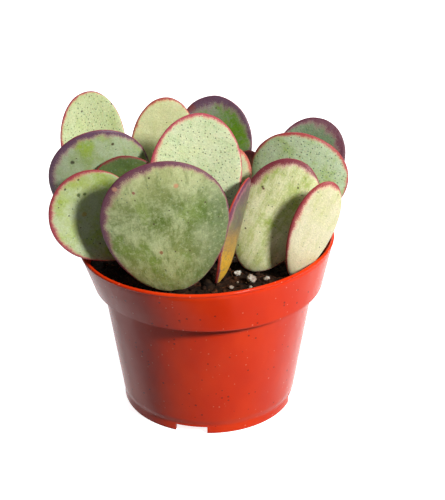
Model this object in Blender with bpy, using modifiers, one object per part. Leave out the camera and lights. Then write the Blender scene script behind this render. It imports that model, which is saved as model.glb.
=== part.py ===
"""A silver-dollar jade plant, standing in a soft plastic nursery pot.

The pot is a turned shell with a flared band, a stepped foot and a mouth that has
been pulled slightly oval. The potting mix fills it and holds nine short stems, and
each stem carries its leaves at nodes, with the upper face turned to the stem. A few
grains of perlite lie on the mix. The pot's axis is the z axis while the parts are
made, and the whole is then moved so that its footprint is centred on the origin.
"""

import math
import random

import bmesh
import bpy
from mathutils import Matrix, Vector

GAP = 0.0003  # between two parts that touch

# ---- pot ----
RIM_RADIUS = 0.051  # mean radius of the mouth
POT_HEIGHT = 0.0715
WALL = 0.0013
BAND_HEIGHT = 0.018  # the flared band under the mouth
BAND_FLARE = 0.004  # by which the band widens upwards
BAND_STEP = 0.0037  # the ledge under the band
FOOT_RADIUS = 0.0359
FOOT_HEIGHT = 0.0044
FOOT_STEP = 0.0004
FLOOR_LIFT = 0.0035  # height of the floor's underside
FOOT_RING = 0.002
MOUTH_OVAL = 0.058  # share by which the mouth is out of round
OVAL_HEADING = 43.0  # degrees from +x to its long axis
NOTCH_WIDTH = 0.013
NOTCH_HEIGHT = 0.003
NOTCH_HEADING = -101.0
DRAIN_RADIUS = 0.0045
DRAIN_COUNT = 4

BAND_BOTTOM = POT_HEIGHT - BAND_HEIGHT
BAND_RADIUS = RIM_RADIUS - BAND_FLARE
BODY_RADIUS = BAND_RADIUS - BAND_STEP
FLOOR_TOP = FLOOR_LIFT + WALL

# ---- potting mix and perlite ----
SOIL_DROP = 0.009  # from the rim down to the mix
SOIL_RELIEF = 0.0005
SOIL_TOP = POT_HEIGHT - SOIL_DROP
GRAIN_RADIUS = 0.0018

# ---- plant: lengths below are in units of a 51st of the rim's radius ----
UNIT = RIM_RADIUS / 51
BLADE = 3.6  # thickness of a leaf
LEAF_ROOM = 1.0  # between a stem and the blade above its base
HOOK = BLADE / 2 + LEAF_ROOM  # by which a leaf's base turns in to meet the stem
EGG = 0.10  # by which a blade is wider towards its tip
LEAF_CURL = 2.0  # by which the tip bends away from the stem
STEM_TIP = 1.6  # from the highest node to the stem's top

POT_SEGMENTS = 48
LEAF_SEGMENTS = 20
LEAF_RINGS = 6
STEM_SEGMENTS = 10
LIP_SLIDES = 3  # tries at placing a leaning leaf, each nearer than the last

# x, y where it leaves the mix, lean and its heading in degrees, depth, radius. The
# stems of LEANING slide in or out until their leaf just clears the pot's lip.
STEMS = {
    "front": (-11.5, -28, 4, 90, 18, 4.0),
    "shoot": (0.6, -25.3, 0, 0, 8, 2.5),
    "west": (-22, -17, 4, 180, 18, 4.0),
    "left": (-33, 4, 22, 180, 18, 4.0),
    "mid": (-20, 15, 5, 110, 18, 4.0),
    "back": (3, 16, 5, 90, 18, 4.0),
    "right": (16, -12, 6, 0, 18, 4.0),
    "corner": (34, -18.5, 6, 300, 5, 2.3),
    "rear": (28, 14, 6, 60, 18, 4.0),
}
LEANING = {"corner": "right_rim"}

# stem, height of the node, side of the stem it grows from; lean away from the stem,
# swing sideways and turn about the midrib, in degrees; length, width, cup and taper
LEAVES = {
    "front_round": ("front", 1, -95, -4, 7, 10, 54, 49, 2, 0.15),
    "centre": ("front", 6, 85, 20, 8, 6, 60, 37, 3, 0.45),
    "edge_on": ("shoot", 1, -20, 5, -19, 2, 43, 19, 2, 0.30),
    "low_left": ("west", 11, 195, 40, 7, -80, 39, 35, 3, 0.25),
    "left_inner": ("west", 5, 100, 4, -17, 0, 43, 34, 3, 0.30),
    "left_broad": ("left", 9, -95, 3, 10, 17, 49, 41, 3, 0.30),
    "left_tall": ("left", 15, 145, 14, 12, -46, 51, 27, 3, 0.45),
    "back_plain": ("mid", 7, 100, 2, 6, -10, 52, 28, 2, 0.45),
    "back_purple": ("back", 12, 70, 13, -11, 20, 46, 32, 3, 0.45),
    "behind_centre": ("back", 5, -80, 9, -4, -13, 44, 22, 2, 0.45),
    "back_tip": ("rear", 9, 160, 15, 5, -66, 29, 15, 2, 0.45),
    "right_oval": ("right", 2, -100, -23, -23, 5, 49, 31, 3, 0.10),
    "right_rim": ("corner", 1, 260, -11, -17, 29, 43, 19, 0, 0.30),
    "right_broad": ("rear", 7, -80, 0, -16, -20, 44, 41, 3, 0.40),
    "right_rear": ("rear", 9, 60, 25, 12, 24, 43, 30, 3, 0.45),
    "hidden_left": ("left", 6, 125, 40, 0, 0, 36, 26, 3, 0.40),
    "hidden_mid": ("mid", 3, 95, 42, 0, 0, 34, 24, 3, 0.40),
    "hidden_back": ("back", 4, 90, 38, 0, 0, 34, 24, 3, 0.40),
}

# x, y on the mix and size over GRAIN_RADIUS
GRAINS = {
    "a": (17.3, -24.4, 1.25),
    "b": (23.1, -22.4, 0.65),
    "c": (11.7, -18, 0.7),
    "d": (9.1, -29, 0.5),
    "e": (10.8, -7, 0.9),
    "f": (16.8, -29, 0.5),
}


def heading(degrees):
    angle = math.radians(degrees)
    return Vector((math.cos(angle), math.sin(angle), 0))


def turned(axis, degrees):
    return Matrix.Rotation(math.radians(degrees), 3, axis)


def principled(name, srgb, roughness, metallic=0.0):
    material = bpy.data.materials.new(name)
    material.use_nodes = True
    shader = material.node_tree.nodes["Principled BSDF"]
    colour = [(value / 255) ** 2.2 for value in srgb]
    shader.inputs["Base Color"].default_value = (*colour, 1)
    shader.inputs["Roughness"].default_value = roughness
    shader.inputs["Metallic"].default_value = metallic
    material.diffuse_color = (*colour, 1)
    return material


def add_object(name, shape, collection, material=None, place=(0, 0, 0), lie=None):
    """Turns a bmesh into a named object, laid and placed under the root."""
    bmesh.ops.recalc_face_normals(shape, faces=shape.faces)
    if shape.calc_volume(signed=True) < 0:
        bmesh.ops.reverse_faces(shape, faces=shape.faces)
    mesh = bpy.data.meshes.new(name)
    shape.to_mesh(mesh)
    shape.free()
    mesh.shade_smooth()
    mesh.set_sharp_from_angle(angle=math.radians(40))
    if material:
        mesh.materials.append(material)
    made = bpy.data.objects.new(name, mesh)
    collection.objects.link(made)
    made.parent = root
    made.location = place
    if lie:
        made.rotation_euler = lie.to_euler()
    return made


def add_collection(name, hidden=False):
    collection = bpy.data.collections.new(name)
    bpy.context.scene.collection.children.link(collection)
    collection.hide_render = hidden
    return collection


def cut(target, cutter):
    cutter.hide_render = True
    cutter.display_type = "WIRE"
    modifier = target.modifiers.new(cutter.name, "BOOLEAN")
    modifier.operation = "DIFFERENCE"
    modifier.solver = "EXACT"
    modifier.object = cutter


def bridge(shape, rings):
    """Skins closed rings of equal length, from the first to the last."""
    for lower, upper in zip(rings, rings[1:]):
        for step in range(len(lower)):
            after = (step + 1) % len(lower)
            shape.faces.new((lower[step], lower[after], upper[after], upper[step]))


# ---- pot ----


def mouth_oval(z):
    """How far out of round the wall is at this height: nothing up to the band's foot."""
    rise = (z - BAND_BOTTOM) / BAND_HEIGHT
    return MOUTH_OVAL * max(0.0, rise)


def pulled(radius, degrees, z):
    """A radius of the wall as the oval leaves it, at this heading and height."""
    around = math.radians(2 * (degrees - OVAL_HEADING))
    return radius * (1 + mouth_oval(z) * math.cos(around))


def wall_ring(shape, radius, z):
    """A ring of points on the pot's wall, out of round in the band."""
    ring = []
    for step in range(POT_SEGMENTS):
        degrees = 360 * step / POT_SEGMENTS
        out = pulled(radius, degrees, z)
        ring.append(shape.verts.new(heading(degrees) * out + Vector((0, 0, z))))
    return ring


def body_radius(z):
    """Outer radius of the tapered body at this height."""
    share = (z - FOOT_HEIGHT) / (BAND_BOTTOM - FOOT_HEIGHT)
    foot = FOOT_RADIUS + FOOT_STEP
    return foot + share * (BODY_RADIUS - foot)


def band_radius(z):
    """Outer radius of the flared band at this height, before the oval."""
    return BAND_RADIUS + BAND_FLARE * (z - BAND_BOTTOM) / BAND_HEIGHT


def make_pot(collection, cutters):
    ledge = BAND_BOTTOM + WALL
    lip = WALL / 2
    rim = band_radius(POT_HEIGHT - lip)
    profile = [
        (FOOT_RADIUS - FOOT_RING, FLOOR_LIFT),
        (FOOT_RADIUS - FOOT_RING, 0.0003),
        (FOOT_RADIUS - FOOT_RING + 0.0003, 0),
        (FOOT_RADIUS - 0.0003, 0),
        (FOOT_RADIUS, 0.0003),
        (FOOT_RADIUS, FOOT_HEIGHT),
        (body_radius(FOOT_HEIGHT), FOOT_HEIGHT + FOOT_STEP),
        (body_radius(BAND_BOTTOM), BAND_BOTTOM - 0.0004),
        (BAND_RADIUS - 0.0004, BAND_BOTTOM),
        (BAND_RADIUS, BAND_BOTTOM + 0.0005),
        (rim, POT_HEIGHT - lip),
        (rim - 0.3 * lip, POT_HEIGHT - 0.3 * lip),
        (rim - lip, POT_HEIGHT),
        (rim - 1.7 * lip, POT_HEIGHT - 0.3 * lip),
        (rim - WALL, POT_HEIGHT - lip),
        (band_radius(SOIL_TOP) - WALL, SOIL_TOP),
        (band_radius(ledge) - WALL, ledge + 0.0005),
        (body_radius(BAND_BOTTOM) - WALL, ledge),
        (body_radius(FLOOR_TOP) - WALL, FLOOR_TOP + 0.001),
        (body_radius(FLOOR_TOP) - WALL - 0.001, FLOOR_TOP),
    ]
    shape = bmesh.new()
    rings = [wall_ring(shape, radius, z) for radius, z in profile]
    bridge(shape, rings)
    shape.faces.new(rings[0])
    shape.faces.new(rings[-1])
    plastic = principled("terracotta_plastic", (196, 62, 36), 0.38)
    pot = add_object("pot", shape, collection, plastic)

    for turn in (0, 90):
        notch = bmesh.new()
        bmesh.ops.create_cube(notch, size=1)
        size = (2.4 * FOOT_RADIUS, NOTCH_WIDTH, 2 * NOTCH_HEIGHT)
        bmesh.ops.scale(notch, vec=size, verts=notch.verts)
        spin = turned("Z", NOTCH_HEADING + turn)
        cut(pot, add_object(f"foot_notch_{turn}", notch, cutters, lie=spin))
    middles = [Vector((0, 0, 0))]
    for step in range(DRAIN_COUNT):
        degrees = NOTCH_HEADING + 45 + 360 * step / DRAIN_COUNT
        middles.append(heading(degrees) * (FOOT_RADIUS - FOOT_RING) * 0.6)
    for index, middle in enumerate(middles):
        drain = bmesh.new()
        bmesh.ops.create_cone(
            drain,
            cap_ends=True,
            segments=16,
            radius1=DRAIN_RADIUS,
            radius2=DRAIN_RADIUS,
            depth=4 * WALL,
        )
        place = middle + Vector((0, 0, FLOOR_LIFT + WALL / 2))
        cut(pot, add_object(f"drain_{index}", drain, cutters, place=place))
    return pot


# ---- potting mix ----


def soil_height(x, y):
    """The mix lies in a low, uneven bed."""
    waves = math.sin(210 * x + 1.3) * math.cos(170 * y) + math.sin(130 * (x + y))
    return SOIL_TOP + 0.5 * SOIL_RELIEF * waves


def make_soil(collection, cutters):
    inset = WALL + GAP
    ledge = BAND_BOTTOM + WALL + GAP
    floor = FLOOR_TOP + GAP
    top = SOIL_TOP - SOIL_RELIEF
    profile = [
        (body_radius(floor) - inset - 0.001, floor),
        (body_radius(floor) - inset, floor + 0.001),
        (body_radius(BAND_BOTTOM) - inset, ledge),
        (band_radius(ledge) - inset, ledge + 0.0005),
        (band_radius(top) - inset, top),
    ]
    shape = bmesh.new()
    rings = [wall_ring(shape, radius, z) for radius, z in profile]
    for share in (0.97, 0.75, 0.5, 0.25):
        ring = []
        for corner in rings[4]:
            x = corner.co.x * share
            y = corner.co.y * share
            ring.append(shape.verts.new((x, y, soil_height(x, y))))
        rings.append(ring)
    bridge(shape, rings)
    shape.faces.new(rings[0])
    middle = shape.verts.new((0, 0, soil_height(0, 0)))
    last = rings[-1]
    for step, corner in enumerate(last):
        shape.faces.new((corner, last[(step + 1) % len(last)], middle))
    mix = principled("potting_mix", (62, 46, 34), 0.95)
    soil = add_object("potting_mix", shape, collection, mix)
    for name in STEMS:
        cut(soil, make_stem(name, f"socket_{name}", cutters, grown=GAP, above=0.004))
    return soil


# ---- stems ----


def stem_frame(name):
    """Where the stem leaves the mix, and the turn that lays z along it."""
    x, y, lean, toward = STEMS[name][:4]
    foot = Vector((x * UNIT, y * UNIT, SOIL_TOP))
    lie = turned("Z", toward) @ turned("Y", lean)
    if name in LEANING:
        inward = -Vector((x, y, 0)).normalized()
        for _ in range(LIP_SLIDES):
            foot += inward * (GAP - lip_room(LEANING[name], foot, lie))
    return foot, lie


def make_stem(name, called, collection, material=None, grown=0.0, above=0.0):
    """A stem, or its socket in the mix: grown all round and carried straight up."""
    nodes = [leaf[1] for leaf in LEAVES.values() if leaf[0] == name]
    height = (max(nodes) + STEM_TIP) * UNIT
    depth, radius = (size * UNIT for size in STEMS[name][4:])
    thick = radius + grown
    profile = [(0, -depth - grown), (0.75 * thick, -depth - grown), (thick, -0.7 * depth)]
    if above:
        profile += [(thick, above), (0, above)]
    else:
        profile += [(thick, height - 0.3 * radius), (0.7 * thick, height), (0, height)]
    profile.reverse()
    mesh = bpy.data.meshes.new(called)
    points = [(out, 0, along) for out, along in profile]
    mesh.from_pydata(points, [(i, i + 1) for i in range(len(points) - 1)], [])
    if material:
        mesh.materials.append(material)
    made = bpy.data.objects.new(called, mesh)
    collection.objects.link(made)
    made.parent = root
    foot, lie = stem_frame(name)
    made.location = foot
    made.rotation_euler = lie.to_euler()
    screw = made.modifiers.new("turn", "SCREW")
    screw.axis = "Z"
    screw.steps = STEM_SEGMENTS
    screw.render_steps = STEM_SEGMENTS
    screw.use_merge_vertices = True
    screw.merge_threshold = 0.00001
    screw.use_smooth_shade = True
    return made


# ---- leaves ----


def leaf_point(across, face, along, sizes):
    """Moves a point of the unit sphere to the blade of a leaf that stands on its base.

    The sphere's equator becomes the leaf's margin and its poles the two faces. Across
    the blade is y, up the midrib is z, and the face towards the stem looks to -x.
    """
    length, width, cup, taper = sizes
    up = (along + 1) / 2
    half = width / 2 * (1 + EGG * along) * (1 - taper * (1 - up) ** 3)
    thick = BLADE / 2 * (1 + 0.2 * (1 - up) ** 2)
    x = thick * face - cup * across**2 + LEAF_CURL * up**2
    return Vector((x, half * across, length * up)) * UNIT


def leaf_frame(name, foot, lie):
    """Where a leaf meets a stem that stands so, and the turn that lays its midrib."""
    stem, node, side, lean, swing, turn = LEAVES[name][:6]
    start = foot + lie @ Vector((0, 0, node * UNIT))
    start += heading(side) * (STEMS[stem][5] * UNIT + GAP)
    stand = turned("Z", side) @ turned("Y", lean) @ turned("X", swing) @ turned("Z", turn)
    return start, stand


def blade(name, stand, steps, rings):
    """The blade's mesh, from its base, with its hook towards the stem."""
    outward = stand.transposed() @ heading(LEAVES[name][2])
    shape = bmesh.new()
    bmesh.ops.create_uvsphere(shape, u_segments=steps, v_segments=rings, radius=1)
    for point in shape.verts:
        across, along, face = point.co
        up = (along + 1) / 2
        hook = HOOK * UNIT * (1 - (1 - up) ** 8)
        point.co = leaf_point(across, face, along, LEAVES[name][6:]) + outward * hook
    return shape


def lip_room(name, foot, lie):
    """The least room between a leaf and the wall of the mouth, negative if they cross."""
    start, stand = leaf_frame(name, foot, lie)
    shape = blade(name, stand, 4 * LEAF_SEGMENTS, 4 * LEAF_RINGS)
    room = []
    for point in shape.verts:
        place = start + stand @ point.co
        if place.z < POT_HEIGHT:
            degrees = math.degrees(math.atan2(place.y, place.x))
            inside = pulled(band_radius(place.z) - WALL, degrees, place.z)
            room.append(inside - math.hypot(place.x, place.y))
    shape.free()
    return min(room)


def make_leaf(name, collection, material):
    start, stand = leaf_frame(name, *stem_frame(LEAVES[name][0]))
    shape = blade(name, stand, LEAF_SEGMENTS, LEAF_RINGS)
    return add_object(f"leaf_{name}", shape, collection, material, start, stand)


# ---- perlite ----


def make_grain(name, collection, material):
    x, y, size = GRAINS[name]
    place = Vector((x * UNIT, y * UNIT, 0))
    radius = size * GRAIN_RADIUS
    shape = bmesh.new()
    bmesh.ops.create_icosphere(shape, subdivisions=2, radius=radius)
    lumps = random.Random(f"grain {name}")
    for point in shape.verts:
        point.co *= lumps.uniform(0.85, 1.1)
        point.co.z *= 0.75
    lowest = min(point.co.z for point in shape.verts)
    bed = max(
        soil_height(place.x + radius * dx, place.y + radius * dy)
        for dx in (-1, 0, 1)
        for dy in (-1, 0, 1)
    )
    place.z = bed + GAP - lowest
    return add_object(f"perlite_{name}", shape, collection, material, place)


# ---- build ----

for old in list(bpy.data.objects):
    bpy.data.objects.remove(old, do_unlink=True)

plant = add_collection("potted_jade_plant")
cutters = add_collection("cutters", hidden=True)
root = bpy.data.objects.new("root", None)
plant.objects.link(root)

make_pot(plant, cutters)
make_soil(plant, cutters)

bark = principled("stem_bark", (104, 98, 66), 0.75)
for stem_name in STEMS:
    make_stem(stem_name, f"stem_{stem_name}", plant, bark)

pale = principled("leaf_pale", (196, 203, 158), 0.45)
grey = principled("leaf_grey_green", (138, 150, 110), 0.5)
MOTTLED = {"front_round", "low_left", "left_broad", "left_inner", "right_broad"}
for leaf_name in LEAVES:
    make_leaf(leaf_name, plant, grey if leaf_name in MOTTLED else pale)

white = principled("perlite", (226, 222, 214), 0.9)
for grain_name in GRAINS:
    make_grain(grain_name, plant, white)

# The footprint of everything that stands is centred on the origin.
bpy.context.view_layer.update()
graph = bpy.context.evaluated_depsgraph_get()
reach = []
for made in plant.objects:
    if made.type == "MESH":
        ready = made.evaluated_get(graph)
        reach += [ready.matrix_world @ corner.co for corner in ready.data.vertices]
root.location.x = -(min(p.x for p in reach) + max(p.x for p in reach)) / 2
root.location.y = -(min(p.y for p in reach) + max(p.y for p in reach)) / 2
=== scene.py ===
"""The looks of a silver-dollar jade plant in a soft plastic nursery pot.

Each leaf is read back from its CAD blade as a smooth surface with a plump margin, and
wears a wax bloom, oil dots and a red edge of its own. The pot is read back from its CAD
wall and drawn smoothly in semi-gloss, dusty plastic, with a rolled lip, a stepped and
notched foot and drain holes. The potting mix is a rough bed that the corky stems stand
in, with crumbs, bark chips, fibres and perlite lying on it.
"""

import math
import random

import bmesh
import bpy
import numpy as np
from mathutils import Matrix, Vector, noise
from mathutils.bvhtree import BVHTree


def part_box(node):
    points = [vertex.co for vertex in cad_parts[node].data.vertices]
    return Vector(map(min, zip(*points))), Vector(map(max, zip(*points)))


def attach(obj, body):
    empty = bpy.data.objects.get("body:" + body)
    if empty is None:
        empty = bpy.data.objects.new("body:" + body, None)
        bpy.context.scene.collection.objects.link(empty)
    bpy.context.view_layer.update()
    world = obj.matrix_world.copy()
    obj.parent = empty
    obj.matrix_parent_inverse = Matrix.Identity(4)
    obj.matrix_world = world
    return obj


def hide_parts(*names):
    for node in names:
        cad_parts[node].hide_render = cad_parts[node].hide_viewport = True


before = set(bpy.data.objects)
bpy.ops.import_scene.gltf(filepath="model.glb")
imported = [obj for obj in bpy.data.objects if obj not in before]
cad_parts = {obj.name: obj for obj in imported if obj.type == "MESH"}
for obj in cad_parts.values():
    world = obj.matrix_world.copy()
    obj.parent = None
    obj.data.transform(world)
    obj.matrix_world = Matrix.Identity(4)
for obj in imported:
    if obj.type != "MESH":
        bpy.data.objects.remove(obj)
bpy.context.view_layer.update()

MM = 0.001
POT_LOW, POT_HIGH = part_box("pot")
AXIS = Vector(((POT_LOW.x + POT_HIGH.x) / 2, (POT_LOW.y + POT_HIGH.y) / 2, 0))
RIM_TOP = POT_HIGH.z

# ---- leaves: how the CAD blades are made, and how finely they are read back ----
SPOKES = 20  # points round the margin of a CAD blade
RINGS = 6  # steps from one face's middle to the other's
FINE_SPOKES = 140
FINE_RINGS = 56
PLUMP = 0.74  # under 1, the faces stay full nearly to the margin
DIMPLES = 0.16 * MM
DIMPLE_PITCH = 11 * MM
MARGIN_WAVES = 0.006  # share of the blade's half width
RIM_DEPTH = 0.4  # how fast the margin's pattern changes inwards, against along it

# ---- pot ----
POT_CORNERS = 48  # points round the CAD pot
POT_SPOKES = 240
POT_REACH = 80 * MM  # safely outside the wall
POT_WALL = 1.3 * MM
LIP_ROLL = 0.14 * MM  # by which the lip's bead stands out from the wall
LIP_HEIGHT = 0.75 * MM
BAND_LOW = 53.5 * MM  # the flared band's lower edge
FOOT_TOP = 4.4 * MM
FOOT_RING = 2.0 * MM
FLOOR_LIFT = 3.5 * MM
NOTCH_WIDTH = 13 * MM
NOTCH_HEIGHT = 3 * MM
NOTCH_HEADING = -101
DRAIN_RADIUS = 4.5 * MM
DRAIN_CIRCLE = 20.3 * MM
DRAIN_COUNT = 4  # round a fifth in the middle
SHARP_EDGE = 38  # degrees between faces, from which an edge of the pot shows as sharp

# ---- stems ----
STEM_ROWS = 44
STEM_SPOKES = 36
STEM_SHARE = 0.72  # of the CAD stem's radius, to leave room for its swellings
RING_PITCH = 3.2 * MM
KNOB_PITCH = 1.5 * MM

# ---- potting mix ----
MIX_ROWS = 64
MIX_SPOKES = 320
MIX_DROP = 0.6 * MM  # mean level of the bed below the top of the CAD mix
MIX_INSET = 0.25 * MM
CLUMPS = 1.0 * MM
CRUMBS = 900
CHIPS = 70
FIBRES = 90
FIBRE_SIDES = 5
FIBRE_LINK = 0.6  # mm
WHITE_BITS = 70

# ---- camera: straight on and from above, as if from a chair at a table ----
VIEW_AIM = AXIS + Vector((5.8, 0, 65.1)) * MM
VIEW_PITCH = math.radians(26.2)
VIEW_DISTANCE = 510 * MM
LENS = 90.1
SENSOR = 36

# ---- stage and light ----
FLOOR_HALF = 6.0
FLOOR_GLOW = 0.88
CARD_NEAR = -92 * MM
CARD_FAR = -260 * MM
CARD_HALF = 44 * MM
SKY = (0.93, 0.94, 0.98, 1)
SKY_STRENGTH = 0.10


# ---- materials ----


def linear(colour):
    """An sRGB colour, 0 to 255, as the linear RGBA that Blender's sockets take."""
    shares = [value / 255 for value in colour]
    return (*[c / 12.92 if c < 0.04045 else ((c + 0.055) / 1.055) ** 2.4 for c in shares], 1)


class Finish:
    """A material under construction: each method adds one node and gives its output."""

    def __init__(self, name, roughness, **shader):
        self.material = bpy.data.materials.new(name)
        self.material.use_nodes = True
        self.tree = self.material.node_tree
        self.shader = self.tree.nodes["Principled BSDF"]
        self.shader.inputs["Roughness"].default_value = roughness
        for socket, value in shader.items():
            self.shader.inputs[socket.replace("_", " ")].default_value = value

    def put(self, socket, value):
        if isinstance(value, bpy.types.NodeSocket):
            self.tree.links.new(value, socket)
        else:
            socket.default_value = value

    def add(self, kind, inputs=(), **settings):
        node = self.tree.nodes.new(kind)
        for setting, value in settings.items():
            setattr(node, setting, value)
        for socket, value in dict(inputs).items():
            self.put(node.inputs[socket], value)
        return node

    def read(self, attribute, what="Vector"):
        return self.add("ShaderNodeAttribute", attribute_name=attribute).outputs[what]

    def place(self):
        return self.add("ShaderNodeTexCoord").outputs["Object"]

    def part(self, vector, axis):
        return self.add("ShaderNodeSeparateXYZ", {"Vector": vector}).outputs[axis]

    def scaled(self, vector, scale, shift=(0, 0, 0)):
        inputs = {"Vector": vector, "Scale": scale, "Location": shift}
        return self.add("ShaderNodeMapping", inputs).outputs["Vector"]

    def maths(self, operation, a, b=0.0, c=0.0):
        node = self.add("ShaderNodeMath", operation=operation)
        for socket, value in zip(node.inputs, (a, b, c)):
            self.put(socket, value)
        return node.outputs["Value"]

    def ramp(self, value, low, high, start=0.0, end=1.0):
        """Eases from start to end as value goes from low to high."""
        inputs = {"Value": value, "From Min": low, "From Max": high}
        inputs.update({"To Min": start, "To Max": end})
        node = self.add("ShaderNodeMapRange", inputs, interpolation_type="SMOOTHSTEP")
        return node.outputs["Result"]

    def mix(self, share, first, second, blend="MIX"):
        node = self.add("ShaderNodeMix", data_type="RGBA", blend_type=blend)
        self.put(node.inputs[0], share)
        self.put(node.inputs[6], linear(first) if isinstance(first, tuple) else first)
        self.put(node.inputs[7], linear(second) if isinstance(second, tuple) else second)
        return node.outputs[2]

    def noise(self, vector, scale, detail=3.0, rough=0.55, warp=0.0, what=0):
        inputs = {"Vector": vector, "Scale": scale, "Detail": detail}
        inputs.update({"Roughness": rough, "Distortion": warp})
        return self.add("ShaderNodeTexNoise", inputs).outputs[what]

    def spots(self, vector, scale, size, share, space="3D"):
        """Round spots, one to a cell in this share of the cells, soft at their edges."""
        inputs = {"Vector": vector, "Scale": scale}
        cells = self.add("ShaderNodeTexVoronoi", inputs, voronoi_dimensions=space)
        lot = self.part(cells.outputs["Color"], "X")
        width = self.ramp(self.part(cells.outputs["Color"], "Y"), 0, 1, 0.55 * size, size)
        inside = self.maths("SUBTRACT", width, cells.outputs["Distance"])
        spot = self.ramp(inside, 0, 0.35 * size)
        return self.maths("MULTIPLY", spot, self.maths("LESS_THAN", lot, share))

    def towards(self, blade, degrees):
        """How far a point of the blade lies towards a heading: 1 at the margin there."""
        way = (math.cos(math.radians(degrees)), math.sin(math.radians(degrees)), 0)
        node = self.add("ShaderNodeVectorMath", {0: blade, 1: way}, operation="DOT_PRODUCT")
        return node.outputs["Value"]

    def bump(self, height, depth, under=None):
        node = self.add("ShaderNodeBump", {"Height": height, "Distance": depth})
        node.inputs["Strength"].default_value = 1.0
        if under is not None:
            self.put(node.inputs["Normal"], under)
        return node.outputs["Normal"]

    def done(self, colour, roughness=None, normal=None):
        self.put(self.shader.inputs["Base Color"], colour)
        if roughness is not None:
            self.put(self.shader.inputs["Roughness"], roughness)
        if normal is not None:
            self.put(self.shader.inputs["Normal"], normal)
        return self.material


# ---- pieces ----


def add_piece(name, points, faces, material, stands_for=()):
    mesh = bpy.data.meshes.new(name)
    mesh.from_pydata(points, [], faces)
    mesh.materials.append(material)
    mesh.shade_smooth()
    piece = bpy.data.objects.new(name, mesh)
    bpy.context.scene.collection.objects.link(piece)
    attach(piece, "root")
    if stands_for:
        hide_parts(*stands_for)
    return piece


def lathe_faces(rows, spokes):
    """Faces for a first pole, rows of points one after another, and a last pole."""
    faces = []
    last = rows * spokes + 1
    for spoke in range(spokes):
        after = (spoke + 1) % spokes
        faces.append((0, 1 + after, 1 + spoke))
        for row in range(rows - 1):
            low = 1 + row * spokes
            high = low + spokes
            faces.append((low + spoke, low + after, high + after, high + spoke))
        start = last - spokes
        faces.append((start + spoke, start + after, last))
    return faces


def face_outwards(mesh):
    shape = bmesh.new()
    shape.from_mesh(mesh)
    bmesh.ops.recalc_face_normals(shape, faces=shape.faces)
    if shape.calc_volume(signed=True) < 0:
        bmesh.ops.reverse_faces(shape, faces=shape.faces)
    shape.to_mesh(mesh)
    shape.free()


def welded(node):
    """A CAD node's mesh with its split corners joined."""
    shape = bmesh.new()
    shape.from_mesh(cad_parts[node].data)
    bmesh.ops.remove_doubles(shape, verts=shape.verts, dist=0.01 * MM)
    return shape


def surface_of(node):
    shape = welded(node)
    tree = BVHTree.FromBMesh(shape)
    shape.free()
    return tree


def write_attribute(mesh, name, kind, values):
    field = "vector" if kind == "FLOAT_VECTOR" else "value"
    attribute = mesh.attributes.new(name, kind, "POINT")
    attribute.data.foreach_set(field, np.asarray(values, np.float32).ravel())


# ---- leaves ----

# What is particular to a leaf. Colours are sRGB. `stem` is the stem that bears it.
PLAIN = {
    "bloom": (203, 209, 166),  # under the full coat of wax
    "flesh": (178, 192, 130),  # where the wax is thin
    "bare": 0.5,  # how much of the face is so
    "glow": (176, 190, 84),  # yellow-green clouds
    "glowing": 0.2,
    "low": (186, 196, 140),  # towards the base
    "lowness": 0.4,
    "dots": 0.0,  # share of the oil glands that show
    "dot": (92, 112, 84),
    "specks": 0.08,
    "band": (150, 58, 70),  # the red margin
    "haze": (206, 130, 124),  # its inner fringe
    "line": (150, 44, 44),  # its outermost line
    "wide": 1.5,  # the margin's greatest and least width in mm
    "thin": 0.5,
    "toward": 120,  # where it is widest: 0 is right, 90 the tip, 180 left
    "wax": 0.46,  # roughness
    "drawn": 0.8,  # under 1, the mottling is drawn out along the blade
    "side_tints_and_shade": (),  # sides tinted darker or lighter, partly the leaf's own tone and partly painted shade and painted light: where, colour and share
    "scars": (),  # place across and along in mm from the middle, size in mm, colour
}

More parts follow.
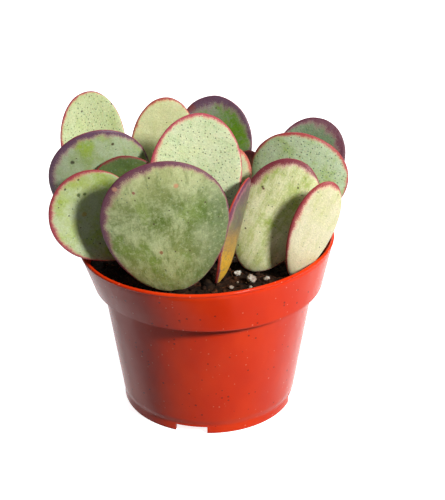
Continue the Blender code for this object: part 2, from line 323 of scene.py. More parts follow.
LOOKS = {
    "front_round": dict(
        stem="front",
        bloom=(180, 190, 142),
        flesh=(78, 100, 14),
        bare=0.85,
        glow=(100, 126, 14),
        glowing=0.8,
        low=(160, 164, 98),
        lowness=0.55,
        dots=0.10,
        specks=0.3,
        band=(92, 36, 66),
        haze=(168, 104, 118),
        line=(120, 48, 54),
        wide=3.2,
        thin=0.8,
        toward=128,
        wax=0.5,
        scars=(
            ((5.3, 17.1), 0.9, (196, 142, 104)),
            ((-15.5, 18.5), 0.9, (186, 132, 108)),
            ((-9.4, 16.3), 0.6, (140, 84, 70)),
            ((-3.4, -8.6), 0.8, (136, 84, 50)),
        ),
        # The right side is darkened with painted shade and the top lightened with painted light,
        # over the leaf's own tone.
        side_tints_and_shade=((-12, (92, 110, 76), 0.65), (98, (196, 200, 140), 0.55)),
    ),
    "centre": dict(
        stem="front",
        dot=(80, 98, 76),
        bloom=(200, 208, 168),
        flesh=(172, 192, 142),
        bare=0.6,
        glow=(196, 206, 128),
        glowing=0.2,
        low=(190, 204, 164),
        dots=0.85,
        band=(172, 54, 80),
        haze=(222, 150, 132),
        wide=2.0,
        thin=0.9,
        toward=140,
    ),
    "edge_on": dict(
        stem="shoot",
        # The purple-grey tip side is partly painted shade, and the bright yellow-orange base is
        # partly painted light.
        side_tints_and_shade=((90, (112, 72, 88), 0.7),),
        bloom=(104, 98, 84),
        flesh=(120, 124, 84),
        low=(226, 172, 44),
        lowness=1.0,
        dots=0.15,
        band=(94, 34, 68),
        haze=(186, 120, 128),
        line=(206, 70, 30),
        wide=3.0,
        thin=1.0,
        toward=95,
    ),
    "low_left": dict(
        stem="west",
        bloom=(176, 188, 146),
        flesh=(156, 172, 84),
        bare=0.7,
        glow=(140, 164, 30),
        glowing=0.85,
        # The greyer base and lower right side are partly painted shade from the front leaf.
        low=(128, 144, 116),
        lowness=0.7,
        dots=0.12,
        specks=0.35,
        band=(150, 42, 64),
        haze=(206, 130, 124),
        line=(170, 76, 48),
        wide=2.2,
        thin=0.6,
        toward=120,
        scars=(
            ((1.2, 12.6), 0.75, (66, 84, 30)),
            ((2.9, 11.2), 0.65, (70, 88, 34)),
            ((-2.3, 5.6), 1.0, (164, 150, 60)),
        ),
        side_tints_and_shade=((-30, (120, 138, 108), 0.5),),
    ),
    # This leaf's colours are its own tones darkened with painted shade, for where it stands behind
    # its neighbours.
    "left_inner": dict(
        stem="west",
        bloom=(76, 96, 46),
        flesh=(58, 78, 24),
        bare=0.7,
        glow=(100, 112, 40),
        low=(58, 76, 30),
        dots=0.3,
        band=(112, 34, 40),
        haze=(120, 76, 60),
        wide=1.2,
        thin=0.6,
        toward=110,
    ),
    "left_broad": dict(
        stem="left",
        bloom=(164, 178, 142),
        flesh=(134, 154, 92),
        bare=0.6,
        glow=(138, 164, 28),
        glowing=0.8,
        low=(140, 158, 116),
        dots=0.1,
        specks=0.3,
        band=(80, 40, 74),
        haze=(166, 100, 122),
        line=(160, 60, 62),
        wide=3.4,
        thin=1.2,
        toward=135,
        scars=(
            ((-8.4, 14), 0.8, (44, 40, 16)),
            ((6.8, 17.5), 0.6, (58, 44, 20)),
        ),
        side_tints_and_shade=((-20, (120, 140, 104), 0.5),),
    ),
    "left_tall": dict(
        stem="left",
        dot=(84, 104, 72),
        bloom=(192, 202, 152),
        flesh=(172, 188, 124),
        glow=(204, 212, 128),
        dots=0.8,
        band=(168, 54, 76),
        haze=(216, 140, 118),
        wide=1.6,
        thin=0.5,
        toward=150,
    ),
    "back_plain": dict(
        stem="mid",
        bloom=(206, 208, 160),
        flesh=(190, 194, 138),
        low=(196, 198, 140),
        specks=0.05,
        band=(166, 62, 62),
        haze=(212, 150, 112),
        wide=1.5,
        thin=0.5,
        toward=135,
    ),
    "back_purple": dict(
        stem="back",
        bloom=(118, 124, 106),
        flesh=(80, 116, 14),
        bare=0.9,
        glow=(98, 130, 20),
        glowing=0.9,
        low=(110, 140, 50),
        dots=0.05,
        specks=0.3,
        band=(76, 38, 66),
        haze=(140, 112, 116),
        line=(186, 48, 52),
        wide=5.0,
        thin=1.2,
        toward=100,
        scars=(((-7.3, 19.2), 1.7, (104, 46, 44)),),
    ),
    "behind_centre": dict(
        stem="back",
        bloom=(212, 214, 172),
        flesh=(196, 200, 146),
        band=(190, 92, 84),
        haze=(222, 160, 130),
        line=(196, 84, 52),
        wide=1.6,
        thin=0.7,
        toward=60,
    ),
    "back_tip": dict(
        stem="rear",
        bloom=(150, 110, 92),
        flesh=(140, 84, 72),
        band=(118, 36, 46),
        haze=(150, 80, 76),
        wide=5.0,
        thin=1.5,
        toward=90,
    ),
    "right_oval": dict(
        stem="right",
        bloom=(222, 222, 180),
        flesh=(152, 170, 70),
        bare=0.7,
        glow=(140, 164, 34),
        glowing=0.75,
        low=(176, 186, 140),
        dots=0.12,
        specks=0.15,
        band=(116, 18, 48),
        haze=(206, 124, 146),
        wide=3.6,
        thin=0.8,
        toward=148,
        scars=(((-8.3, 8.2), 0.5, (104, 44, 44)),),
        drawn=0.3,
    ),
    "right_rim": dict(
        stem="corner",
        bloom=(226, 220, 186),
        flesh=(196, 200, 132),
        bare=0.55,
        glow=(214, 214, 140),
        low=(220, 212, 168),
        lowness=0.3,
        dots=0.08,
        specks=0.15,
        band=(150, 32, 52),
        haze=(226, 130, 128),
        line=(176, 60, 46),
        wide=2.4,
        thin=0.5,
        toward=140,
        drawn=0.3,
    ),
    "right_broad": dict(
        stem="rear",
        bloom=(186, 202, 166),
        flesh=(154, 178, 112),
        bare=0.6,
        glow=(140, 168, 24),
        glowing=0.7,
        low=(140, 164, 104),
        dots=0.85,
        dot=(70, 96, 84),
        band=(164, 50, 62),
        haze=(200, 120, 100),
        wide=1.6,
        thin=0.9,
        toward=90,
    ),
    "right_rear": dict(
        stem="rear",
        bloom=(94, 112, 80),
        flesh=(80, 104, 60),
        dots=0.8,
        dot=(58, 76, 68),
        band=(84, 26, 50),
        haze=(140, 80, 98),
        line=(120, 40, 62),
        wide=4.2,
        thin=1.4,
        toward=50,
        low=(96, 120, 76),
    ),
    "hidden_left": dict(stem="left", dots=0.7, wide=2.2, toward=90),
    "hidden_mid": dict(stem="mid", dots=0.5, bare=0.7, wide=2.4, toward=70),
    "hidden_back": dict(stem="back", dots=0.6, flesh=(150, 170, 110), toward=110),
}


def leaf_material(name, look, seed):
    """Waxy leaf skin. Its attributes are in mm, apart from the unit `blade`."""
    skin = Finish(
        f"leaf_skin_{name}",
        look["wax"],
        Subsurface_Weight=0.12,
        Subsurface_Scale=0.003,
        Sheen_Weight=0.04,
        Specular_IOR_Level=0.35,
        Sheen_Roughness=0.4,
    )
    shift = (17.0 * seed, 29.0 * seed, 0)
    flat = skin.scaled(skin.read("flat"), (1, 1, 1), shift)
    rim = skin.scaled(skin.read("rim"), (1, 1, 1), shift)
    margin = skin.read("margin", "Fac")
    blade = skin.read("blade")

    drawn = skin.scaled(flat, (1, look["drawn"], 1))
    clouds = skin.noise(drawn, 0.09, 8.0, 0.7, 0.25)
    bare = skin.ramp(clouds, 0.62 - 0.3 * look["bare"], 0.88 - 0.3 * look["bare"])
    colour = skin.mix(bare, look["bloom"], look["flesh"])
    rise = skin.maths("MULTIPLY_ADD", skin.noise(flat, 0.12, 3.0), 0.8, skin.part(blade, "Y"))
    low = skin.ramp(rise, 0.75, -0.45, 0.0, look["lowness"])
    colour = skin.mix(low, colour, look["low"])
    far = skin.scaled(flat, (1, 1, 1), (61, 47, 0))
    patches = skin.ramp(skin.noise(far, 0.08, 4.0, 0.6, 0.3), 0.5, 0.68, 0.0, look["glowing"])
    colour = skin.mix(patches, colour, look["glow"])

    # Sides tinted darker or lighter: partly the leaf's own tone, partly painted shade and painted
    # light.
    for where, tint, share in look["side_tints_and_shade"]:
        side = skin.ramp(skin.towards(blade, where), 0.15, 0.9, 0.0, share)
        colour = skin.mix(side, colour, tint)

    grain = skin.noise(flat, 1.5, 5.0, 0.8)
    light = skin.ramp(grain, 0.35, 0.65, 0.84, 1.12)
    colour = skin.add("ShaderNodeVectorMath", {0: colour, "Scale": light}, operation="SCALE")
    colour = colour.outputs[0]
    scuffs = skin.noise(skin.scaled(flat, (1, 0.3, 1)), 0.45, 4.0, 0.7)
    colour = skin.mix(skin.ramp(scuffs, 0.5, 0.66, 0.0, 0.45), colour, look["flesh"])
    dust = skin.noise(skin.scaled(flat, (1, 1, 1), (9, 31, 0)), 0.6, 5.0, 0.75)
    colour = skin.mix(skin.ramp(dust, 0.5, 0.66, 0.0, 0.5), colour, look["bloom"])

    inner = skin.ramp(margin, 0.6, 1.8)
    dots = skin.spots(flat, 0.64, 0.21, look["dots"], "2D")
    shown = skin.maths("MULTIPLY", dots, inner)
    colour = skin.mix(skin.maths("MULTIPLY", shown, 0.8), colour, look["dot"])
    specks = skin.spots(skin.scaled(flat, (1, 1, 1), (5, 83, 0)), 0.17, 0.09, look["specks"], "2D")
    colour = skin.mix(skin.maths("MULTIPLY", specks, 0.85), colour, (64, 48, 30))

    # The margin: a band that breaks up inwards into fine mauve stipple.
    lie = skin.towards(blade, look["toward"])
    width = skin.ramp(lie, -0.35, 0.95, look["thin"], look["wide"])
    drift = skin.noise(rim, 0.22, 3.0)
    width = skin.maths("MULTIPLY", width, skin.ramp(drift, 0.3, 0.7, 0.7, 1.25))
    inward = skin.maths("DIVIDE", margin, width)
    streaks = skin.maths("SUBTRACT", skin.noise(rim, 2.2, 3.0, 0.7), 0.5)
    stipple = skin.maths("SUBTRACT", skin.noise(flat, 2.8, 4.0, 0.85), 0.5)
    torn = skin.maths("MULTIPLY_ADD", streaks, 0.7, inward)
    torn = skin.maths("MULTIPLY_ADD", stipple, 1.9, torn)
    colour = skin.mix(skin.ramp(torn, 1.45, 0.75, 0.0, 0.6), colour, look["haze"])
    colour = skin.mix(skin.ramp(torn, 1.05, 0.5, 0.0, 0.92), colour, look["band"])
    line = skin.ramp(skin.maths("MULTIPLY_ADD", drift, 0.5, margin), 0.85, 0.3, 0.0, 0.7)
    colour = skin.mix(line, colour, look["line"])

    # Corky scars and scratches where the leaf was knocked.
    for place, size, tint in look["scars"]:
        gap = skin.maths("MULTIPLY", spot_distance(skin, flat, shift, place), 1 / size)
        gap = skin.maths("MULTIPLY_ADD", stipple, 2.4, gap)
        colour = skin.mix(skin.ramp(gap, 1.25, 0.6, 0.0, 0.9), colour, tint)

    pits = skin.bump(skin.maths("MULTIPLY", shown, -1.0), 0.00006)
    fine = skin.bump(grain, 0.00008, pits)
    pillows = skin.bump(skin.noise(flat, 0.3, 3.0), 0.0003, fine)
    rough = skin.ramp(clouds, 0.3, 0.7, look["wax"] + 0.07, look["wax"] - 0.07)
    return skin.done(colour, rough, pillows)


def spot_distance(skin, flat, shift, place):
    """How far in mm a point of the blade lies from a place on it, on either face."""
    here = (place[0] + shift[0], place[1] + shift[1], 0)
    gap = skin.add("ShaderNodeVectorMath", {0: flat, 1: here}, operation="DISTANCE")
    return gap.outputs["Value"]


def turned_to(row, guide):
    """A ring's points, renumbered so that each lies beside its fellow in the guide."""
    turns = [np.roll(row, -step, axis=0) for step in range(len(row))]
    return min(turns, key=lambda turn: float(((turn - guide) ** 2).sum()))


def read_blade(name, stem):
    """A CAD blade as a globe: a full circle of latitudes by the spokes round it.

    The globe's equator is the margin and its poles are the middles of the two faces.
    Spoke 0 is the base, and the spokes run by the viewer's right to the tip.
    """
    shape = welded(name)
    poles = [point for point in shape.verts if len(point.link_edges) == SPOKES]
    poles.sort(key=lambda point: point.co.y)
    layers = [{poles[0]}]
    seen = {poles[0]}
    for _ in range(RINGS):
        beside = {edge.other_vert(point) for point in layers[-1] for edge in point.link_edges}
        layers.append(beside - seen)
        seen |= beside
    across = (poles[1].co - poles[0].co).normalized()
    right = across.orthogonal()
    up = across.cross(right)
    middle = (poles[0].co + poles[1].co) / 2

    def bearing(place):
        return math.atan2((place - middle).dot(up), (place - middle).dot(right))

    rows = [sorted((point.co.copy() for point in layer), key=bearing) for layer in layers]
    shape.free()
    rows[0] *= SPOKES
    rows[-1] *= SPOKES
    rows = [np.array(row) for row in rows]
    margin = rows[RINGS // 2]
    bark = surface_of(stem)
    near = [bark.find_nearest(Vector(place))[3] for place in margin]
    margin = np.roll(margin, -near.index(min(near)), axis=0)
    quarter = SPOKES // 4
    if margin[quarter][0] < margin[-quarter][0]:
        rows = [row[::-1] for row in rows]
        margin = np.roll(margin[::-1], 1, axis=0)
    rows[RINGS // 2] = margin
    for ring in range(RINGS // 2 - 1, 0, -1):
        rows[ring] = turned_to(rows[ring], rows[ring + 1])
        rows[RINGS - ring] = turned_to(rows[RINGS - ring], rows[RINGS - ring - 1])
    back = [np.roll(row, SPOKES // 2, axis=0) for row in rows[RINGS - 1 : 0 : -1]]
    return np.array(rows + back)


def wave_weights(fine, coarse):
    """Weights that read a smooth periodic curve through even points at finer ones."""
    gaps = np.arange(fine)[:, None] / fine - np.arange(coarse)[None, :] / coarse
    half = math.pi * gaps
    met = np.isclose(np.sin(half), 0)
    half = np.where(met, 1.0, half)
    weights = np.sin(coarse * half) / (coarse * np.tan(half))
    return np.where(met, 1.0, weights)


def fine_blade(name, stem, seed):
    """The blade's fine grid of points, from face to face, and what its skin reads."""
    globe = read_blade(name, stem)
    rows = wave_weights(2 * FINE_RINGS, 2 * RINGS)[: FINE_RINGS + 1]
    spokes = wave_weights(FINE_SPOKES, SPOKES)
    grid = np.einsum("ab,bcd,ec->aed", rows, globe, spokes)

    turn = math.pi * np.arange(FINE_RINGS + 1) / FINE_RINGS
    around = 2 * math.pi * np.arange(FINE_SPOKES) / FINE_SPOKES - math.pi / 2
    face = np.cos(turn)[:, None] * np.ones(FINE_SPOKES)
    across = np.sin(turn)[:, None] * np.cos(around)
    along = np.sin(turn)[:, None] * np.sin(around)

    core = (grid + grid[::-1]) / 2
    half = (grid - grid[::-1]) / 2
    full = np.maximum(np.abs(face), 1e-6) ** (PLUMP - 1)
    full[np.abs(face) < 1e-6] = 1
    middle = core[0].mean(axis=0)
    pull = 1 + MARGIN_WAVES * np.array(
        [noise.noise(Vector((3 * math.cos(a), 3 * math.sin(a), seed))) for a in around]
    )
    core = middle + (core - middle) * pull[None, :, None]
    normal = half[0].mean(axis=0)
    normal /= np.linalg.norm(normal)
    dents = np.array(
        [
            [noise.noise(Vector(place) / DIMPLE_PITCH + Vector((seed, 0, 0))) for place in row]
            for row in core
        ]
    )
    room = (1 - across**2 - along**2).clip(0, 1) ** 0.5
    grid = core + half * full[..., None] + (DIMPLES * dents * room)[..., None] * normal

    edge = grid[FINE_RINGS // 2]
    width = np.linalg.norm(edge[FINE_SPOKES // 4] - edge[-FINE_SPOKES // 4])
    length = np.linalg.norm(edge[FINE_SPOKES // 2] - edge[0])
    run = np.cumsum(np.linalg.norm(np.diff(grid, axis=0), axis=2), axis=0)
    run = np.concatenate([np.zeros((1, FINE_SPOKES)), run])
    margin = np.abs(run - run[FINE_RINGS // 2]) / MM
    radius = (width + length) / 4 / MM
    flat = np.stack([across * width / 2, along * length / 2, 0 * across], axis=-1) / MM
    ring = np.stack([np.cos(around), np.sin(around)], axis=-1)[None] * radius
    ring = np.repeat(ring, FINE_RINGS + 1, axis=0)
    rim = np.concatenate([ring, RIM_DEPTH * margin[..., None]], axis=2)
    fields = {
        "flat": ("FLOAT_VECTOR", flat),
        "rim": ("FLOAT_VECTOR", rim),
        "blade": ("FLOAT_VECTOR", np.stack([across, along, face], axis=-1)),
        "margin": ("FLOAT", margin),
    }
    return grid, fields


def add_leaf(name, seed):
    look = {**PLAIN, **LOOKS[name]}
    grid, fields = fine_blade(f"leaf_{name}", f"stem_{look['stem']}", seed)

    def one_pole(values):
        """The grid's rows as one list, with each pole kept once."""
        tail = values.shape[2:]
        inner = values[1:-1].reshape(-1, *tail)
        return np.concatenate([values[0].mean(axis=0)[None], inner, values[-1].mean(axis=0)[None]])

    points = one_pole(grid)
    faces = lathe_faces(FINE_RINGS - 1, FINE_SPOKES)
    skin = leaf_material(name, look, seed)
    leaf = add_piece(f"jade_leaf_{name}", points, faces, skin, [f"leaf_{name}"])
    face_outwards(leaf.data)
    for field, (kind, values) in fields.items():
        write_attribute(leaf.data, field, kind, one_pole(values))
    return leaf


for number, leaf_name in enumerate(LOOKS):
    add_leaf(leaf_name, number + 1)


# ---- pot ----


def pot_material():
    """Soft polypropylene: even, semi-gloss, with dust, faint scuffs and flow marks."""
    plastic = Finish(
        "pot_plastic",
        0.24,
        Subsurface_Weight=0.05,
        Subsurface_Scale=0.002,
        Specular_IOR_Level=0.25,
        IOR=1.3,
    )
    here = plastic.place()
    flow = plastic.noise(plastic.scaled(here, (1, 1, 0.6)), 50.0, 3.0)
    colour = plastic.mix(plastic.ramp(flow, 0.3, 0.7), (226, 58, 10), (214, 48, 8))
    haze = plastic.ramp(plastic.noise(here, 45.0, 5.0, 0.7), 0.5, 0.75, 0.0, 0.1)
    colour = plastic.mix(haze, colour, (176, 78, 60))
    dark = plastic.spots(here, 380.0, 0.2, 0.3)
    colour = plastic.mix(plastic.maths("MULTIPLY", dark, 0.75), colour, (84, 24, 16))
    pale = plastic.spots(plastic.scaled(here, (1, 1, 1), (0.3, 0.1, 0.2)), 460.0, 0.18, 0.4)
    colour = plastic.mix(plastic.maths("MULTIPLY", pale, 0.6), colour, (232, 140, 112))
    scratches = plastic.noise(plastic.scaled(here, (1, 1, 9)), 240.0, 2.0, 0.6)
    rough = plastic.ramp(scratches, 0.3, 0.75, 0.2, 0.27)
    waves = plastic.bump(plastic.noise(here, 60.0, 2.0), 0.0004)
    fine = plastic.bump(plastic.noise(here, 900.0, 2.0), 0.00002, waves)
    return plastic.done(colour, rough, fine)


def way_at(degrees):
    return Vector((math.cos(math.radians(degrees)), math.sin(math.radians(degrees)), 0))


def wall_radii(tree, z, outside):
    """The wall's radius at each fine spoke, drawn smoothly through the CAD's corners."""
    radii = []
    for corner in range(POT_CORNERS):
        way = way_at(360 * corner / POT_CORNERS + 0.01)
        centre = AXIS + Vector((0, 0, z))
        if outside:
            radii.append(POT_REACH - tree.ray_cast(centre + way * POT_REACH, -way)[3])
        else:
            radii.append(tree.ray_cast(centre, way)[3])
    return wave_weights(POT_SPOKES, POT_CORNERS) @ np.array(radii)


def pot_rows(tree):
    """Radii and height of each row, from the floor's underside, up outside and down inside."""
    foot = wall_radii(tree, FOOT_TOP - 0.6 * MM, True)
    inner_foot = foot - FOOT_RING
    rows = [(inner_foot * share, FLOOR_LIFT) for share in (0.25, 0.5, 0.75, 0.97)]
    rows += [(inner_foot, FLOOR_LIFT - 0.2 * MM), (inner_foot, 0.25 * MM)]
    rows += [(inner_foot + 0.25 * MM, 0), (foot - 0.3 * MM, 0), (foot - 0.08 * MM, 0.08 * MM)]
    rows += [(foot, z * MM) for z in (0.3, 1.2, 2.2, 3.2, 4.2)]
    body = wall_radii(tree, BAND_LOW - 0.5 * MM, True)
    for z in np.linspace(FOOT_TOP + 0.6 * MM, BAND_LOW - 0.5 * MM, 26):
        rows.append((wall_radii(tree, z, True), z))
    band = wall_radii(tree, BAND_LOW + 0.6 * MM, True)
    ledge = ((0.03, -0.3), (0.12, -0.15), (0.5, 0), (0.85, 0.08), (0.97, 0.25), (1, 0.55))
    for share, rise in ledge:
        rows.append((body + share * (band - body), BAND_LOW + rise * MM))
    for z in np.linspace(BAND_LOW + 1.4 * MM, RIM_TOP - 1.7 * MM, 12):
        rows.append((wall_radii(tree, z, True), z))
    outer = wall_radii(tree, RIM_TOP - 0.8 * MM, True)
    inner = wall_radii(tree, RIM_TOP - 0.8 * MM, False)
    bead = (outer - inner) / 2 + LIP_ROLL
    for degrees in range(-60, 241, 20):
        turn = math.radians(degrees)
        out = (outer + inner) / 2 + bead * math.cos(turn)
        rows.append((out, RIM_TOP - LIP_HEIGHT + LIP_HEIGHT * math.sin(turn)))
    for z in np.linspace(RIM_TOP - 2.2 * MM, BAND_LOW + 2.2 * MM, 10):
        rows.append((wall_radii(tree, z, False), z))
    inside = wall_radii(tree, BAND_LOW + 0.8 * MM, False)
    rows.append((inside, BAND_LOW + 1.2 * MM))
    for z in np.linspace(BAND_LOW, FLOOR_LIFT + 2.5 * MM, 8):
        rows.append((wall_radii(tree, z, False), z))
    base = wall_radii(tree, FLOOR_LIFT + 2.5 * MM, False)
    rows += [(base * share, FLOOR_LIFT + POT_WALL) for share in (0.97, 0.75, 0.5, 0.25)]
    return rows


def drilled(piece, cutters):
    """Cuts the notches and drain holes out of the piece, then clears the cutters away."""
    for cutter in cutters:
        hole = piece.modifiers.new(cutter.name, "BOOLEAN")
        hole.operation = "DIFFERENCE"
        hole.solver = "EXACT"
        hole.object = cutter
    graph = bpy.context.evaluated_depsgraph_get()
    cut = bpy.data.meshes.new_from_object(piece.evaluated_get(graph))
    piece.modifiers.clear()
    piece.data = cut
    for cutter in cutters:
        bpy.data.objects.remove(cutter, do_unlink=True)


def add_cutter(name, shape, place, degrees):
    mesh = bpy.data.meshes.new(name)
    shape.to_mesh(mesh)
    shape.free()
    cutter = bpy.data.objects.new(name, mesh)
    cutter.location = place
    cutter.rotation_euler.z = math.radians(degrees)
    bpy.context.scene.collection.objects.link(cutter)
    return cutter


def pot_cutters():
    """Two bars across the foot for its notches, and a cylinder for each drain hole."""
    cutters = []
    for turn in (0, 90):
        bar = bmesh.new()
        bmesh.ops.create_cube(bar, size=1)
        bmesh.ops.scale(bar, vec=(90 * MM, NOTCH_WIDTH, 2 * NOTCH_HEIGHT), verts=bar.verts)
        cutters.append(add_cutter(f"notch_{turn}", bar, AXIS, NOTCH_HEADING + turn))
    headings = [NOTCH_HEADING + 45 + 360 / DRAIN_COUNT * step for step in range(DRAIN_COUNT)]
    holes = [AXIS] + [AXIS + way_at(heading) * DRAIN_CIRCLE for heading in headings]
    for number, place in enumerate(holes):
        drill = bmesh.new()
        sizes = {"radius1": DRAIN_RADIUS, "radius2": DRAIN_RADIUS, "depth": 12 * MM}
        bmesh.ops.create_cone(drill, cap_ends=True, segments=48, **sizes)
        cutters.append(add_cutter(f"drain_{number}", drill, place, 0))
    return cutters


def add_pot():
    tree = surface_of("pot")
    points = [AXIS + Vector((0, 0, FLOOR_LIFT))]
    rows = pot_rows(tree)
    for radii, z in rows:
        for spoke, radius in enumerate(radii):
            points.append(AXIS + way_at(360 * spoke / POT_SPOKES) * radius + Vector((0, 0, z)))
    points.append(AXIS + Vector((0, 0, FLOOR_LIFT + POT_WALL)))
    faces = lathe_faces(len(rows), POT_SPOKES)
    pot = add_piece("nursery_pot", points, faces, pot_material(), ["pot"])
    drilled(pot, pot_cutters())
    face_outwards(pot.data)
    pot.data.shade_smooth()
    pot.data.set_sharp_from_angle(angle=math.radians(SHARP_EDGE))
    return tree


wall = add_pot()


# ---- stems ----


def bark_material():
    bark = Finish("jade_bark", 0.9, Specular_IOR_Level=0.15)
    here = bark.place()
    rings = bark.noise(bark.scaled(here, (1, 1, 3)), 260.0, 4.0, 0.65)
    colour = bark.mix(bark.ramp(rings, 0.35, 0.65), (44, 30, 18), (18, 11, 6))
    fresh = bark.ramp(bark.noise(here, 90.0, 3.0), 0.5, 0.7, 0.0, 0.35)
    colour = bark.mix(fresh, colour, (104, 100, 58))
    return bark.done(colour, None, bark.bump(rings, 0.0004))


def add_stem(name, bark, seed):
    """A short corky stem that swells where the leaves were and are borne."""
    shape = welded(name)
    low = min(shape.verts, key=lambda point: point.co.z).co.copy()
    top = max(point.co.z for point in shape.verts)
    crown = [point.co for point in shape.verts if point.co.z > top - 0.05 * MM]
    tip = sum(crown, Vector()) / len(crown)
    axis = (tip - low).normalized()
    arms = [point.co - low for point in shape.verts]
    radius = max((arm - axis * arm.dot(axis)).length for arm in arms)
    shape.free()
    right = axis.orthogonal().normalized()
    ahead = axis.cross(right)
    length = (tip - low).length
    points = [low]
    for row in range(STEM_ROWS):
        share = row / (STEM_ROWS - 1)
        swell = 1 + 0.05 * math.sin(share * length / RING_PITCH * 2 * math.pi)
        close = min(1.0, 0.45 + 2.2 * share, 0.35 + 3.5 * (1 - share))
        for spoke in range(STEM_SPOKES):
            around = 2 * math.pi * spoke / STEM_SPOKES
            way = right * math.cos(around) + ahead * math.sin(around)
            bumps = noise.noise(way * 2 + Vector((seed, 0, share * length / KNOB_PITCH)))
            out = STEM_SHARE * radius * close * (swell - 0.05 + 0.06 * bumps)
            points.append(low + axis * length * share + way * out)
    points.append(tip)
    faces = lathe_faces(STEM_ROWS, STEM_SPOKES)
    made = add_piece(f"jade_{name}", points, faces, bark, [name])
    face_outwards(made.data)


bark_skin = bark_material()
for number, node in enumerate(sorted(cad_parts)):
    if node.startswith("stem_"):
        add_stem(node, bark_skin, 5.0 * number)


# ---- potting mix ----


def mix_material(name, dark, light, wet=0.86):
    earth = Finish(name, wet, Specular_IOR_Level=0.15)
    here = earth.place()
    lumps = earth.noise(here, 420.0, 6.0, 0.75)
    colour = earth.mix(earth.ramp(lumps, 0.36, 0.66), dark, light)
    warm = earth.ramp(earth.noise(here, 150.0, 3.0), 0.5, 0.7, 0.0, 0.4)
    colour = earth.mix(warm, colour, (78, 44, 24))
    return earth.done(colour, None, earth.bump(lumps, 0.0007))


def wall_distance(pot_wall, degrees, z):
    """From the pot's axis to the inside of its wall."""
    way = way_at(degrees)
    start = AXIS + Vector((0, 0, z)) + way * 20 * MM
    return 20 * MM + pot_wall.ray_cast(start, way)[3]


def across_from_axis(degrees, out):
    """Where a heading and a distance from the pot's axis lead, as x and y."""
    turn = math.radians(degrees)
    return AXIS.x + out * math.cos(turn), AXIS.y + out * math.sin(turn)


def clump_height(x, y):
    """The mix's rough surface above its mean level."""
    place = Vector((x, y, 0)) / MM
    broad = noise.fractal(place / 7.5, 1.0, 2.0, 3)
    fine = noise.fractal(place / 1.7 + Vector((40, 0, 0)), 0.8, 2.1, 4)
    return CLUMPS * (0.55 * broad + 0.6 * fine)


def add_mix(pot_wall):
    """The bed: a rough top, then sides down the wall and a floor under it."""
    low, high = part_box("potting_mix")
    level = high.z - MIX_DROP
    points = [(AXIS.x, AXIS.y, level)]
    spokes = [360 * spoke / MIX_SPOKES for spoke in range(MIX_SPOKES)]
    reach = [wall_distance(pot_wall, degrees, level) - MIX_INSET for degrees in spokes]
    for row in range(1, MIX_ROWS + 1):
        share = row / MIX_ROWS
        for degrees, radius in zip(spokes, reach):
            x, y = across_from_axis(degrees, radius * share)
            points.append((x, y, level + clump_height(x, y)))
    sides = (level - 4 * MM, level - 7.2 * MM, level - 8 * MM, low.z + 12 * MM, low.z)
    for z in sides:
        for degrees in spokes:
            x, y = across_from_axis(degrees, wall_distance(pot_wall, degrees, z) - MIX_INSET)
            points.append((x, y, z))
    points.append((AXIS.x, AXIS.y, low.z))
    faces = lathe_faces(MIX_ROWS + len(sides), MIX_SPOKES)
    earth = mix_material("damp_mix", (14, 8, 5), (50, 33, 21))
    bed = add_piece("mix_bed", points, faces, earth, ["potting_mix"])
    face_outwards(bed.data)
    return level


def lump(size, squash, rng, level=2):
    """The points and faces of one rough grain."""
    shape = bmesh.new()
    bmesh.ops.create_icosphere(shape, subdivisions=level, radius=size)
    seed = Vector((rng.uniform(0, 90), rng.uniform(0, 90), 0))
    heading = Matrix.Rotation(rng.uniform(0, 2 * math.pi), 3, "Z")
    turn = heading @ Matrix.Rotation(rng.uniform(-0.5, 0.5), 3, "X")
    points = []
    for point in shape.verts:
        way = point.co.normalized()
        rough = 1 + 0.38 * noise.noise(way * 1.6 + seed) + 0.16 * noise.noise(way * 4 + seed)
        place = point.co * rough
        points.append(turn @ Vector([place[axis] * squash[axis] for axis in range(3)]))
    faces = [[point.index for point in face.verts] for face in shape.faces]
    shape.free()
    return points, faces


def scatter(name, count, sizes, squash, material, rng, level, sink, spread=0.95):
    """Many grains on the mix, as one piece."""
    points, faces = [], []
    for _ in range(count):
        degrees = rng.uniform(0, 360)
        x, y = across_from_axis(degrees, MIX_REACH * spread * math.sqrt(rng.random()))
        size = rng.uniform(*sizes) * MM
        place = Vector((x, y, level + clump_height(x, y) + size * (1 - 2 * sink) * squash[2]))
        grain, skin = lump(size, squash, rng, 2 if size > 0.6 * MM else 1)
        start = len(points)
        points += [place + point for point in grain]
        faces += [[start + index for index in face] for face in skin]
    return add_piece(name, points, faces, material)


def add_fibres(count, material, rng, level):
    """Coir and root threads that lie and curl on the mix."""
    points, faces = [], []
    sides = FIBRE_SIDES
    for _ in range(count):
        degrees = rng.uniform(0, 360)
        x, y = across_from_axis(degrees, MIX_REACH * 0.9 * math.sqrt(rng.random()))
        place = Vector((x, y, 0))
        way = rng.uniform(0, 2 * math.pi)
        bend = rng.uniform(-0.35, 0.35)
        lift = rng.uniform(0.1, 1.0) * MM
        radius = rng.uniform(0.07, 0.2) * MM
        links = rng.randint(8, 18)
        start = len(points)
        for link in range(links):
            share = link / (links - 1)
            arch = lift * math.sin(math.pi * share)
            z = level + clump_height(place.x, place.y) + 0.1 * MM + arch
            thick = radius * (1 - 0.6 * abs(2 * share - 1) ** 3)
            ahead = Vector((math.cos(way), math.sin(way), 0))
            right = Vector((-ahead.y, ahead.x, 0))
            for side in range(sides):
                around = 2 * math.pi * side / sides
                ring = right * math.cos(around) + Vector((0, 0, math.sin(around)))
                points.append(Vector((place.x, place.y, z)) + ring * thick)
            place = place + ahead * FIBRE_LINK * MM
            way += bend + rng.uniform(-0.25, 0.25)
        for link in range(links - 1):
            for side in range(sides):
                after = (side + 1) % sides
                here = start + link * sides
                faces.append((here + side, here + after, here + sides + after, here + sides + side))
        faces.append(tuple(start + side for side in reversed(range(sides))))
        faces.append(tuple(start + (links - 1) * sides + side for side in range(sides)))
    return add_piece("mix_fibres", points, faces, material)


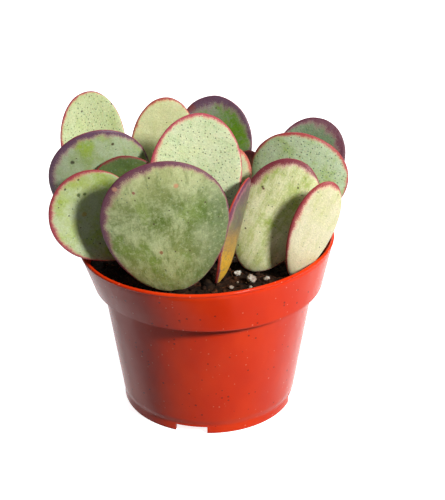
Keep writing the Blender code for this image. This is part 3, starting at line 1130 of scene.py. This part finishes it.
def perlite_material():
    grain = Finish("perlite_grain", 0.9, Subsurface_Weight=0.1, Subsurface_Scale=0.001)
    here = grain.place()
    pores = grain.noise(here, 900.0, 4.0, 0.7)
    colour = grain.mix(grain.ramp(pores, 0.35, 0.6), (140, 128, 114), (206, 199, 188))
    stain = grain.ramp(grain.noise(here, 240.0, 3.0), 0.42, 0.62, 0.0, 0.7)
    colour = grain.mix(stain, colour, (112, 88, 66))
    return grain.done(colour, None, grain.bump(pores, 0.0003))


mix_level = add_mix(wall)
MIX_REACH = min(wall_distance(wall, 10 * step, mix_level) for step in range(36)) - MM
dice = random.Random(7)
crumbs = mix_material("mix_crumb", (16, 9, 5), (62, 38, 23))
chips = mix_material("bark_chip", (40, 20, 10), (104, 60, 34), 0.75)
white = perlite_material()

# Name, count, least and greatest size in mm, proportions, material, slot, share sunk in.
LITTER = (
    ("mix_crumbs", CRUMBS, (0.25, 1.15), (1, 0.85, 0.75), crumbs, "potting_mix", 0.3),
    ("bark_chips", CHIPS, (0.7, 1.6), (1.3, 0.6, 0.28), chips, "potting_mix", 0.1),
    ("perlite_bits", WHITE_BITS, (0.2, 0.6), (1, 0.85, 0.8), white, "perlite", 0.3),
)
for name, count, sizes, squash, material, slot, sink in LITTER:
    scatter(name, count, sizes, squash, material, dice, mix_level, sink)
add_fibres(FIBRES, chips, dice, mix_level)
for node in sorted(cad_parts):
    if node.startswith("perlite_"):
        low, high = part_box(node)
        middle = (low + high) / 2
        size = (high.x - low.x) / 2
        points, faces = lump(size, (1.1, 0.75, 0.62), dice, 4)
        points = [middle + point for point in points]
        add_piece(f"grain_{node}", points, faces, white, [node])


# ---- stage, light and camera ----


def add_floor():
    mesh = bpy.data.meshes.new("floor")
    signs = ((-1, -1), (1, -1), (1, 1), (-1, 1))
    corners = [(x * FLOOR_HALF, y * FLOOR_HALF, 0) for x, y in signs]
    mesh.from_pydata(corners, [], [(0, 1, 2, 3)])
    paper = Finish(
        "floor_paper", 0.9, Emission_Color=(1, 1, 1, 1), Emission_Strength=FLOOR_GLOW
    )
    fibre = paper.noise(paper.place(), 40.0, 3.0)
    paper.done(paper.mix(paper.ramp(fibre, 0.3, 0.7), (246, 245, 248), (250, 249, 251)))
    mesh.materials.append(paper.material)
    floor = bpy.data.objects.new("floor", mesh)
    floor.location.z = -0.2 * MM
    floor.visible_diffuse = False
    bpy.context.scene.collection.objects.link(floor)


def add_dark_card():
    """A dark card on the floor in front: it shows only as a deep reflection in the band."""
    mesh = bpy.data.meshes.new("dark_card")
    left, right = -CARD_HALF, CARD_HALF
    corners = [(left, CARD_FAR), (right, CARD_FAR), (right, CARD_NEAR), (left, CARD_NEAR)]
    mesh.from_pydata([(x, y, 0.0) for x, y in corners], [], [(0, 1, 2, 3)])
    felt = Finish("card_felt", 0.9)
    nap = felt.noise(felt.place(), 300.0, 3.0)
    felt.done(felt.mix(felt.ramp(nap, 0.3, 0.7), (16, 10, 8), (26, 17, 14)))
    mesh.materials.append(felt.material)
    card = bpy.data.objects.new("dark_card", mesh)
    card.location = AXIS + Vector((0, 0, 0.4 * MM))
    card.visible_camera = False
    card.visible_diffuse = False
    card.visible_shadow = False
    bpy.context.scene.collection.objects.link(card)


def add_light(name, azimuth, elevation, distance, size, watts, colour):
    """A square softbox aimed at the plant. Azimuth 0 is the camera's side, 90 the right."""
    light = bpy.data.lights.new(name, "AREA")
    light.shape = "SQUARE"
    light.size = size
    light.energy = watts
    light.color = colour
    lamp = bpy.data.objects.new(name, light)
    around, above = math.radians(azimuth), math.radians(elevation)
    level = Vector((math.sin(around), -math.cos(around), 0))
    way = level * math.cos(above) + Vector((0, 0, math.sin(above)))
    lamp.location = VIEW_AIM + way * distance
    lamp.rotation_euler = (-way).to_track_quat("-Z", "Y").to_euler()
    bpy.context.scene.collection.objects.link(lamp)


add_floor()
add_dark_card()
add_light("key", 46, 35, 0.9, 0.13, 10.8, (1.0, 0.985, 0.955))
add_light("overhead", -20, 78, 0.9, 0.9, 0.9, (0.98, 0.98, 1.0))
add_light("front_fill", -12, 24, 1.1, 0.6, 0.1, (0.96, 0.97, 1.0))
add_light("back_fill", 182, 32, 1.1, 0.8, 4.5, (1.0, 0.99, 0.97))

world = bpy.data.worlds.new("studio")
world.use_nodes = True
world.node_tree.nodes["Background"].inputs["Color"].default_value = SKY
world.node_tree.nodes["Background"].inputs["Strength"].default_value = SKY_STRENGTH
bpy.context.scene.world = world
bpy.context.scene.view_settings.view_transform = "Standard"

lens = bpy.data.cameras.new("camera")
lens.lens = LENS
lens.sensor_width = SENSOR
lens.clip_start = 0.01
camera = bpy.data.objects.new("camera", lens)
away = Vector((0, -math.cos(VIEW_PITCH), math.sin(VIEW_PITCH)))
camera.location = VIEW_AIM + away * VIEW_DISTANCE
camera.rotation_euler = (-away).to_track_quat("-Z", "Y").to_euler()
bpy.context.scene.collection.objects.link(camera)
bpy.context.scene.camera = camera
